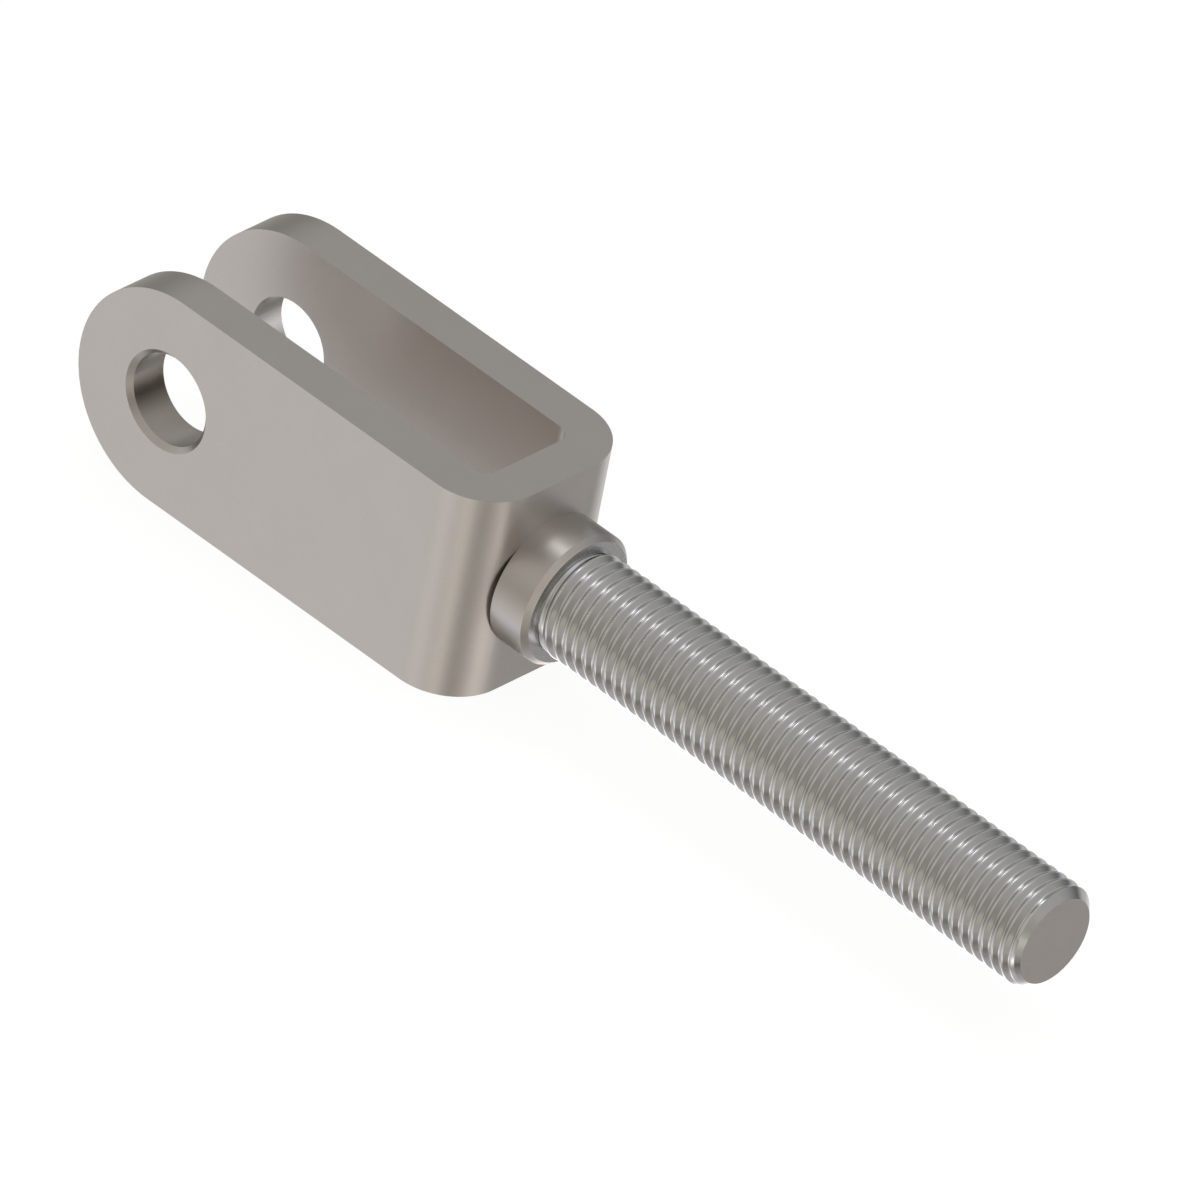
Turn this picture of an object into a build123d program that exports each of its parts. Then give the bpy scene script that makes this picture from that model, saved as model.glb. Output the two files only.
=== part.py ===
from build123d import *
import os

# Tension rod clevis: a fork bent from flat bar, a turned collar on the fork's back, and a
# threaded rod that screws through the collar and the fork's back wall.
# Millimetres, +Z up. The origin lies on the pin hole's axis, midway between the two ears.
# +X runs along the rod to its free end, +Y along the pin, and the bar's width stands along Z.

# Flat bar and the bend that makes it a fork
bar_thickness = 12.7
bar_width = 63.5
slot_gap = 33.34
bend_inner_radius = 4.76
pin_to_back = 111.12

# Hole for the clevis pin, through both ears
pin_hole_diameter = 26.2
pin_hole_chamfer = 1.5

# Threaded rod: its diameter over the crests, how far the crests stand above the pitch line,
# and how far it reaches out behind the fork
rod_diameter = 31.1
crest_height = 0.85
thread_pitch = 3.629
rod_reach = 187.3
rod_end_chamfer = 2.8
turns_past_the_wall = 1.5

# Collar: its wall is measured outside the threaded hole
collar_wall = 4.95
collar_length = 12.6
collar_chamfer = 1.5

# Room for the rod to turn: on the radius inside its holes, and between its crests and the collar
thread_clearance = 0.05
crest_clearance = 0.3

# Sizes that follow
fork_width = slot_gap + 2 * bar_thickness
bend_outer_radius = bend_inner_radius + bar_thickness
ear_end_radius = bar_width / 2
wall_inner_x = pin_to_back - bar_thickness
bend_start_x = wall_inner_x - bend_inner_radius
rod_inner_x = wall_inner_x - turns_past_the_wall * thread_pitch
rod_outer_x = pin_to_back + rod_reach
pitch_radius = rod_diameter / 2 - crest_height
thread_hole_radius = pitch_radius + thread_clearance
crests_start_x = pin_to_back + collar_length + crest_clearance
collar_radius = thread_hole_radius + collar_wall

# Planes square to the rod and to the pin
back_plane = Plane.YZ.offset(pin_to_back)
front_ear_plane = Plane.XZ.offset(fork_width / 2)

# Fork: the bar bent into a U, its ears rounded about the pin
with BuildPart() as fork:
    with BuildSketch(Plane.XY) as bent_bar:
        with BuildLine() as bar_outline:
            outer = FilletPolyline(
                (-ear_end_radius, -fork_width / 2),
                (pin_to_back, -fork_width / 2),
                (pin_to_back, fork_width / 2),
                (-ear_end_radius, fork_width / 2),
                radius=bend_outer_radius,
            )
            inner = FilletPolyline(
                (-ear_end_radius, slot_gap / 2),
                (wall_inner_x, slot_gap / 2),
                (wall_inner_x, -slot_gap / 2),
                (-ear_end_radius, -slot_gap / 2),
                radius=bend_inner_radius,
            )
            Line(outer @ 1, inner @ 0)
            Line(inner @ 1, outer @ 0)
        make_face()
    extrude(amount=bar_width / 2, both=True)

    # each ear ends in a half circle centred on the pin
    with BuildSketch(Plane.XZ) as side_outline:
        Circle(ear_end_radius)
        with Locations((pin_to_back / 2, 0)):
            Rectangle(pin_to_back, bar_width)
    extrude(amount=fork_width / 2, both=True, mode=Mode.INTERSECT)

    # the pin's hole, with its mouth chamfered on the outside of each ear
    with Locations(front_ear_plane):
        Hole(radius=pin_hole_diameter / 2)
    pin_hole_rims = fork.edges().filter_by(GeomType.CIRCLE).filter_by(
        lambda edge: abs(edge.radius - pin_hole_diameter / 2) < 0.001
    )
    outer_rims = pin_hole_rims.group_by(Axis.Y)[0] + pin_hole_rims.group_by(Axis.Y)[-1]
    chamfer(outer_rims, length=pin_hole_chamfer)

    # the rod's hole, drilled from the back until it clears the inner bends
    with Locations(back_plane):
        Hole(radius=thread_hole_radius, depth=pin_to_back - min(rod_inner_x, bend_start_x))
fork.part.label = "fork"

# Collar: a turned ring that seats on the fork's back and lengthens the thread
with BuildPart() as collar:
    with BuildSketch(back_plane) as collar_ring:
        Circle(collar_radius)
        Circle(thread_hole_radius, mode=Mode.SUBTRACT)
    extrude(amount=collar_length)
    end_face = collar.faces().sort_by(Axis.X)[-1]
    chamfer(end_face.outer_wire().edges(), length=collar_chamfer)
collar.part.label = "collar"

# Threaded rod: inside its holes it has the thread's pitch radius, and where it stands free
# it is as thick as its crests
with BuildPart() as threaded_rod:
    with BuildSketch(Plane.YZ.offset(rod_inner_x)) as held_section:
        Circle(pitch_radius)
    extrude(amount=crests_start_x - rod_inner_x)
    with BuildSketch(Plane.YZ.offset(crests_start_x)) as free_section:
        Circle(rod_diameter / 2)
    extrude(amount=rod_outer_x - crests_start_x)
    end_rims = threaded_rod.edges().group_by(Axis.X)
    chamfer(end_rims[0] + end_rims[-1], length=rod_end_chamfer)
threaded_rod.part.label = "threaded_rod"

os.makedirs("parts", exist_ok=True)
export_step(fork.part, "parts/fork.step")
export_step(collar.part, "parts/collar.step")
export_step(threaded_rod.part, "parts/threaded_rod.step")
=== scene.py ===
from math import ceil, cos, floor, log, pi, radians, sin, tau

import bmesh
import bpy
from mathutils import Matrix, Vector


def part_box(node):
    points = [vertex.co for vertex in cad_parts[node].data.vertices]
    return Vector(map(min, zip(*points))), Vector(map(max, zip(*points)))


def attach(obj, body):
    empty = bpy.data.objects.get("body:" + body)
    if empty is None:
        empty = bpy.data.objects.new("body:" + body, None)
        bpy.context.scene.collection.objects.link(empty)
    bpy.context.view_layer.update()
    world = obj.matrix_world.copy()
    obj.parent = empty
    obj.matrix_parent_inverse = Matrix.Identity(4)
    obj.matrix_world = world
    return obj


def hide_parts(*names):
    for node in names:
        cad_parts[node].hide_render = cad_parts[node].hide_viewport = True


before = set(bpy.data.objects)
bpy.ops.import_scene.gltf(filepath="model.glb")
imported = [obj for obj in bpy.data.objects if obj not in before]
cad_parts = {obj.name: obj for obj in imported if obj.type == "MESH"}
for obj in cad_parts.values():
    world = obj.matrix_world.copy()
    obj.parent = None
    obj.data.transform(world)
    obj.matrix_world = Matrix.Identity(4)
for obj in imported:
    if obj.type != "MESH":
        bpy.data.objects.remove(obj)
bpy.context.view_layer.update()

# Sizes in metres, as in the part's source
PITCH = 0.003629
CREST_RADIUS = 0.01555
HELD_RADIUS = 0.0147
END_CHAMFER = 0.0028

# Places along the rod, from the frame
ROD_INNER_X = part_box("threaded_rod")[0].x
ROD_OUTER_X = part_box("threaded_rod")[1].x
COLLAR_FACE_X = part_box("collar")[1].x


# Helpers

def new_object(name, data):
    made = bpy.data.objects.new(name, data)
    bpy.context.scene.collection.objects.link(made)
    return made


def new_material(name):
    made = bpy.data.materials.new(name)
    made.use_nodes = True
    made.node_tree.nodes.clear()
    return made


def add_node(tree, kind, settings=None, inputs=None):
    """A new node. An input is given by name or number, as a value or as the socket that feeds it."""
    made = tree.nodes.new(kind)
    for name, value in (settings or {}).items():
        setattr(made, name, value)
    for name, value in (inputs or {}).items():
        if isinstance(value, bpy.types.NodeSocket):
            tree.links.new(value, made.inputs[name])
        else:
            made.inputs[name].default_value = value
    return made


def math_node(tree, operation, first, second=0.0):
    made = add_node(tree, "ShaderNodeMath", {"operation": operation}, {0: first, 1: second})
    return made.outputs["Value"]


def vector_node(tree, operation, inputs, output="Vector"):
    made = add_node(tree, "ShaderNodeVectorMath", {"operation": operation}, inputs)
    return made.outputs[output]


def noise_node(tree, inputs, dimensions="3D"):
    made = add_node(tree, "ShaderNodeTexNoise", {"noise_dimensions": dimensions}, inputs)
    return made.outputs["Fac"]


def object_place(tree):
    return add_node(tree, "ShaderNodeTexCoord").outputs["Object"]


def set_surface(tree, shader):
    add_node(tree, "ShaderNodeOutputMaterial", inputs={"Surface": shader})


# Metals

# A noise's scale is in cells to the metre, and a bump's distance is in metres.
# Noise seldom leaves this range, so the colours and the roughness are spread over it.
NOISE_LOW = 0.3
NOISE_HIGH = 0.7

# How much the fine grain and the broad clouds count in the satin's shade
GRAIN_SHARE = 0.75
CLOUD_SHARE = 0.25


def set_metal(tree, shade, colours, roughness, height, strength, distance):
    """Metal whose colour and roughness follow the shade, and whose surface follows the height."""
    colour = add_node(tree, "ShaderNodeValToRGB", inputs={"Fac": shade})
    low, high = colour.color_ramp.elements
    low.position, high.position = NOISE_LOW, NOISE_HIGH
    low.color, high.color = [(*parts, 1) for parts in colours]
    rough = add_node(tree, "ShaderNodeMapRange", inputs={
        "Value": shade, "From Min": NOISE_LOW, "From Max": NOISE_HIGH,
        "To Min": roughness[0], "To Max": roughness[1]})
    bump = add_node(tree, "ShaderNodeBump", inputs={
        "Strength": strength, "Distance": distance, "Height": height})
    metal = add_node(tree, "ShaderNodeBsdfPrincipled", inputs={
        "Base Color": colour.outputs["Color"], "Metallic": 1.0,
        "Roughness": rough.outputs["Result"], "Normal": bump.outputs["Normal"]})
    set_surface(tree, metal.outputs["BSDF"])


def satin_material():
    """Warm grey satin plating: a fine even grain in its colour, roughness and surface."""
    made = new_material("satin_plating")
    tree = made.node_tree
    where = object_place(tree)
    grain = noise_node(tree, {"Vector": where, "Scale": 5200.0, "Detail": 1.0, "Roughness": 0.5})
    cloud = noise_node(tree, {"Vector": where, "Scale": 60.0, "Detail": 3.0, "Roughness": 0.6})
    shade = math_node(tree, "ADD", math_node(tree, "MULTIPLY", grain, GRAIN_SHARE),
                      math_node(tree, "MULTIPLY", cloud, CLOUD_SHARE))
    set_metal(tree, shade, colours=[(0.480, 0.453, 0.426), (0.536, 0.507, 0.478)],
              roughness=(0.28, 0.32), height=grain, strength=0.35, distance=0.00003)
    return made


def bright_material():
    """Bright plating: nearly a mirror, with a faint waviness and duller patches."""
    made = new_material("bright_plating")
    tree = made.node_tree
    where = object_place(tree)
    wave = noise_node(tree, {"Vector": where, "Scale": 500.0, "Detail": 2.0, "Roughness": 0.5})
    cloud = noise_node(tree, {"Vector": where, "Scale": 90.0, "Detail": 3.0, "Roughness": 0.6})
    set_metal(tree, cloud, colours=[(0.555, 0.555, 0.550), (0.605, 0.605, 0.602)],
              roughness=(0.02, 0.04), height=wave, strength=0.05, distance=0.00002)
    return made


def turned_material():
    """A turned end face: bright, with fine rings about the rod's axis."""
    made = new_material("turned_face")
    tree = made.node_tree
    across = vector_node(tree, "MULTIPLY", {0: object_place(tree), 1: (0.0, 1.0, 1.0)})
    radius = vector_node(tree, "LENGTH", {0: across}, output="Value")
    marks = noise_node(tree, {"W": radius, "Scale": 9000.0, "Detail": 2.0, "Roughness": 0.6}, "1D")
    set_metal(tree, marks, colours=[(0.560, 0.560, 0.555), (0.600, 0.600, 0.597)],
              roughness=(0.20, 0.26), height=marks, strength=0.1, distance=0.00001)
    return made


satin = satin_material()
bright = bright_material()
turned = turned_material()


# Fork and collar: the CAD shapes, satin but for the collar's turned end face

# A point this near to the end face's plane lies in it
PLANE_TOLERANCE = 1e-6

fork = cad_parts["fork"]
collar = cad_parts["collar"]
for node in (fork, collar):
    node.data.materials.clear()
    node.data.materials.append(satin)

collar.data.materials.append(turned)
for face in collar.data.polygons:
    lowest_x = min(collar.data.vertices[corner].co.x for corner in face.vertices)
    face.material_index = 1 if lowest_x > COLLAR_FACE_X - PLANE_TOLERANCE else 0


# Threaded rod

# The slope of the ridges' flanks, and the share of the pitch that a round crest or a round root takes
FLANK_SLOPE = 1.0
ROUND_SHARE = 0.26
HALF_ROUND = ROUND_SHARE / 2
THREAD_DEPTH = FLANK_SLOPE * PITCH * (0.5 - HALF_ROUND)

# Just outside the collar the full ridges rise out of the plain length that it holds
RISE_START_X = COLLAR_FACE_X + 0.0002
RISE_END_X = COLLAR_FACE_X + 0.0008

# How widely the edges of the end chamfers are rounded over
EDGE_BLEND = 0.0002

# The net that the thread's mesh is made from, and how it is cleaned
POINTS_AROUND = 96
STEPS_IN_HALF_ROUND = 4
TURNS_BEFORE_ROD = 2
MERGE_DISTANCE = 2e-6
SLIVER_LENGTH = 1e-7
SHARP_ANGLE = radians(32)

# A face whose normal has a greater part than this along the rod is one of its flat ends
ALONG_ROD = 0.99


def thread_height(phase):
    """From 0 in the groove to 1 on the crest: straight flanks between a round root and a round crest."""
    away = abs(phase - floor(phase) - 0.5)
    run = 0.5 - HALF_ROUND
    if away < HALF_ROUND:
        return 1 - away * away / (2 * HALF_ROUND * run)
    if away > 0.5 - HALF_ROUND:
        return (0.5 - away) ** 2 / (2 * HALF_ROUND * run)
    return (0.5 - away - HALF_ROUND / 2) / run


def smooth_step(low, high, value):
    share = min(max((value - low) / (high - low), 0), 1)
    return share * share * (3 - 2 * share)


def smaller(one, other):
    """The smaller of two radii, rounded over where they meet."""
    share = max(EDGE_BLEND - abs(one - other), 0) / EDGE_BLEND
    return min(one, other) - share * share * EDGE_BLEND / 4


def rod_radius(x, turn):
    """The rod's radius at x, at a turn from 0 to 1 about its axis, for a right-hand thread."""
    full = CREST_RADIUS - THREAD_DEPTH * (1 - thread_height(x / PITCH - turn))
    held = min(full, HELD_RADIUS)
    thread = held + (full - held) * smooth_step(RISE_START_X, RISE_END_X, x)
    # The end chamfers are cones of 45 degrees
    outer_cone = CREST_RADIUS - END_CHAMFER + (ROD_OUTER_X - x)
    inner_cone = CREST_RADIUS - END_CHAMFER + (x - ROD_INNER_X)
    return smaller(smaller(thread, outer_cone), inner_cone)


def thread_mesh(name):
    """An open net whose rows follow the helix, close together over each crest and each root."""
    steps = range(-STEPS_IN_HALF_ROUND, STEPS_IN_HALF_ROUND + 1)
    near = [HALF_ROUND * step / STEPS_IN_HALF_ROUND for step in steps]
    phases = [0.5 + step for step in near] + [1.0 + step for step in near]
    per_turn = len(phases)
    first_turn = floor(ROD_INNER_X / PITCH) - TURNS_BEFORE_ROD
    rows = per_turn * (ceil(ROD_OUTER_X / PITCH) - first_turn)
    points = []
    for row in range(rows):
        phase = first_turn + row // per_turn + phases[row % per_turn]
        for column in range(POINTS_AROUND):
            turn = column / POINTS_AROUND
            # A point past an end of the rod is moved back onto it
            x = min(max(PITCH * (phase + turn), ROD_INNER_X), ROD_OUTER_X)
            radius = rod_radius(x, turn)
            points.append((x, radius * cos(tau * turn), radius * sin(tau * turn)))
    faces = []
    for row in range(rows - 1):
        for column in range(POINTS_AROUND):
            here = row * POINTS_AROUND + column
            # The last column joins the first one of the next turn
            last = column == POINTS_AROUND - 1
            ahead = (row + per_turn) * POINTS_AROUND if last else here + 1
            if ahead + POINTS_AROUND < len(points):
                faces.append((here, ahead, ahead + POINTS_AROUND, here + POINTS_AROUND))
    mesh = bpy.data.meshes.new(name)
    mesh.from_pydata(points, [], faces)
    return mesh


def thread_object(name):
    """The threaded rod as a closed shape: bright, with satin end faces."""
    mesh = thread_mesh(name)
    shape = bmesh.new()
    shape.from_mesh(mesh)
    bmesh.ops.remove_doubles(shape, verts=shape.verts, dist=MERGE_DISTANCE)
    bmesh.ops.dissolve_degenerate(shape, dist=SLIVER_LENGTH, edges=shape.edges)
    open_edges = [edge for edge in shape.edges if len(edge.link_faces) == 1]
    bmesh.ops.holes_fill(shape, edges=open_edges, sides=0)
    bmesh.ops.recalc_face_normals(shape, faces=shape.faces)
    shape.to_mesh(mesh)
    shape.free()
    mesh.set_sharp_from_angle(angle=SHARP_ANGLE)
    mesh.materials.append(bright)
    mesh.materials.append(satin)
    for face in mesh.polygons:
        flat_end = abs(face.normal.x) > ALONG_ROD
        face.material_index = 1 if flat_end else 0
        face.use_smooth = not flat_end
    return new_object(name, mesh)


rod = thread_object("rolled_thread")
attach(rod, "rod")
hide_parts("threaded_rod")


# Studio: a shell of soft panels that the metal mirrors, a pale floor and a white background

SHELL_RADIUS = 30.0
SHELL_SUBDIVISIONS = 5
FLOOR_RADIUS = 3.5
FLOOR_SIDES = 96
FLOOR_GAP = 0.00005
FLOOR_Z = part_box("fork")[0].z - FLOOR_GAP
FLOOR_GREY = 0.18
FLOOR_GLOW = 0.9

# Tones in red, green and blue
AMBER = (1.00, 1.0, 0.69)
SAND = (1.15, 1.0, 0.88)
WARM = (1.07, 1.0, 0.97)
NEUTRAL = (1.03, 1.0, 0.93)
PALE = (0.99, 1.0, 1.04)
COOL = (0.96, 1.0, 1.20)
PANELS = {
    # azimuth from +X towards +Y, elevation and spread, all in degrees, then strength and tone
    "at the right": (6, -4, 15.5, 6.2, WARM),
    "low at the back left": (136, -58, 14, 2.6, WARM),
    "far below, to the left": (172, -74, 12, 0.88, PALE),
    "low at the back": (96, -35, 14.5, 0.59, PALE),
    "low at the front left": (-143, -44, 8.5, 0.81, COOL),
    "ceiling": (24, 64, 18, 0.36, COOL),
    "low at the front right": (-61, -46, 8, 1.30, NEUTRAL),
    "high at the back": (108, 25, 21, 0.21, COOL),
    "overhead lamp": (170, 71, 6, 4.8, PALE),
    "at the front": (-97, -3, 42, 0.46, WARM),
    "at the front right": (-25, -9, 12, 0.66, NEUTRAL),
    "low at the front": (-102, -41, 17, 0.49, PALE),
    "at the left": (-180, -2, 29, 0.72, PALE),
    "low at the left, a little to the back": (168, -34, 7, 2.0, PALE),
    "at the back right": (43, -3, 19.5, 0.63, COOL),
    "low at the left": (-174, -58, 4.5, 1.8, SAND),
    "at the back": (95, -4, 9.5, 0.70, PALE),
    "far below, to the front": (-49, -74, 10, 0.23, SAND),
}
HEIGHT_GLOW = [
    # elevation in degrees, strength of the glow there, tone
    (-90, 0.64, PALE),
    (-66, 0.22, PALE),
    (-60, 0.24, NEUTRAL),
    (-56, 0.17, NEUTRAL),
    (-50, 0.08, AMBER),
    (-44, 0.18, NEUTRAL),
    (-30, 0.35, NEUTRAL),
    (-10, 0.15, AMBER),
    (-4, 0.10, AMBER),
    (1, 0.03, AMBER),
    (8, 0.11, AMBER),
    (30, 0.36, NEUTRAL),
    (65, 0.47, NEUTRAL),
    (90, 0.73, PALE),
]


def height_glow(tree, unit):
    """The glow's colour, which changes only with height. The unit vector points at a place on the shell."""
    rise = add_node(tree, "ShaderNodeSeparateXYZ", inputs={"Vector": unit}).outputs["Z"]
    elevation = math_node(tree, "ARCSINE", rise)
    share = math_node(tree, "DIVIDE", math_node(tree, "ADD", elevation, pi / 2), pi)
    ramp = add_node(tree, "ShaderNodeValToRGB", inputs={"Fac": share})
    stops = ramp.color_ramp.elements
    while len(stops) < len(HEIGHT_GLOW):
        stops.new(0.5)
    for stop, (degrees_up, strength, tone) in zip(stops, HEIGHT_GLOW):
        stop.position = (degrees_up + 90) / 180
        stop.color = (*[strength * part for part in tone], 1)
    return ramp.outputs["Color"]


def panel_light(tree, unit, azimuth, elevation, spread, strength, tone):
    """One panel's light: full at its middle, half as strong at its spread from there, and fading on."""
    level = cos(radians(elevation))
    middle = (level * cos(radians(azimuth)), level * sin(radians(azimuth)), sin(radians(elevation)))
    sharpness = log(2) / (1 - cos(radians(spread)))
    closeness = vector_node(tree, "DOT_PRODUCT", {0: unit, 1: middle}, output="Value")
    fall = math_node(tree, "SUBTRACT", closeness, 1.0)
    share = math_node(tree, "EXPONENT", math_node(tree, "MULTIPLY", fall, sharpness))
    return vector_node(tree, "SCALE", {0: [strength * part for part in tone], "Scale": share})


def studio_material():
    """The light of the studio's walls: a glow that changes with height, and the panels in it."""
    made = new_material("studio_panels")
    made.cycles.emission_sampling = "NONE"
    tree = made.node_tree
    unit = vector_node(tree, "NORMALIZE", {0: object_place(tree)})
    light = height_glow(tree, unit)
    for panel in PANELS.values():
        light = vector_node(tree, "ADD", {0: light, 1: panel_light(tree, unit, *panel)})
    walls = add_node(tree, "ShaderNodeEmission", inputs={"Color": light, "Strength": 1.0})
    set_surface(tree, walls.outputs["Emission"])
    return made


def floor_material():
    """A pale matte floor that glows, so the object leaves only a faint shadow on it."""
    made = new_material("floor_white")
    tree = made.node_tree
    matte = add_node(tree, "ShaderNodeBsdfDiffuse", inputs={
        "Color": (FLOOR_GREY, FLOOR_GREY, FLOOR_GREY, 1)})
    glow = add_node(tree, "ShaderNodeEmission", inputs={
        "Color": (1, 1, 1, 1), "Strength": FLOOR_GLOW})
    both = add_node(tree, "ShaderNodeAddShader", inputs={
        0: matte.outputs["BSDF"], 1: glow.outputs["Emission"]})
    set_surface(tree, both.outputs["Shader"])
    return made


def white_background():
    made = bpy.data.worlds.new("background")
    made.use_nodes = True
    background = made.node_tree.nodes["Background"]
    background.inputs["Color"].default_value = (1, 1, 1, 1)
    background.inputs["Strength"].default_value = 1.0
    return made


def stage_object(name, shape, material):
    mesh = bpy.data.meshes.new(name)
    shape.to_mesh(mesh)
    shape.free()
    mesh.materials.append(material)
    made = new_object(name, mesh)
    return made


# The camera looks through the shell at the white background, and only the metal and the floor see it
shell_shape = bmesh.new()
bmesh.ops.create_icosphere(shell_shape, subdivisions=SHELL_SUBDIVISIONS, radius=SHELL_RADIUS)
shell = stage_object("studio_shell", shell_shape, studio_material())
shell.visible_camera = False

# The picture's metal mirrors a studio and no white floor, so mirror rays pass through the floor
floor_shape = bmesh.new()
bmesh.ops.create_circle(floor_shape, cap_ends=True, segments=FLOOR_SIDES, radius=FLOOR_RADIUS)
ground = stage_object("floor", floor_shape, floor_material())
ground.location.z = FLOOR_Z
ground.visible_glossy = False

bpy.context.scene.world = white_background()
bpy.context.scene.view_settings.view_transform = "Standard"


# Camera: a long lens 13 m away, for the photo's nearly parallel view

# The picture's directions, solved from the fork's edges in the photo. Up is made square to right
PICTURE_RIGHT = Vector((0.707202, 0.689130, 0.158003)).normalized()
NEARLY_UP = Vector((-0.502480, 0.332687, 0.798018))
TO_CAMERA = PICTURE_RIGHT.cross(NEARLY_UP).normalized()
PICTURE_UP = TO_CAMERA.cross(PICTURE_RIGHT)
CAMERA_PLACE = (6.606535, -8.381640, 7.576914)
LENS_MM = 1500.0
SENSOR_MM = 36.0
CLIP_START = 1.0
CLIP_END = 60.0

camera_data = bpy.data.cameras.new("camera")
camera_data.lens = LENS_MM
camera_data.sensor_width = SENSOR_MM
camera_data.clip_start = CLIP_START
camera_data.clip_end = CLIP_END
camera = new_object("camera", camera_data)
camera_turn = Matrix((PICTURE_RIGHT, PICTURE_UP, TO_CAMERA)).transposed().to_4x4()
camera.matrix_world = Matrix.Translation(CAMERA_PLACE) @ camera_turn
bpy.context.scene.camera = camera
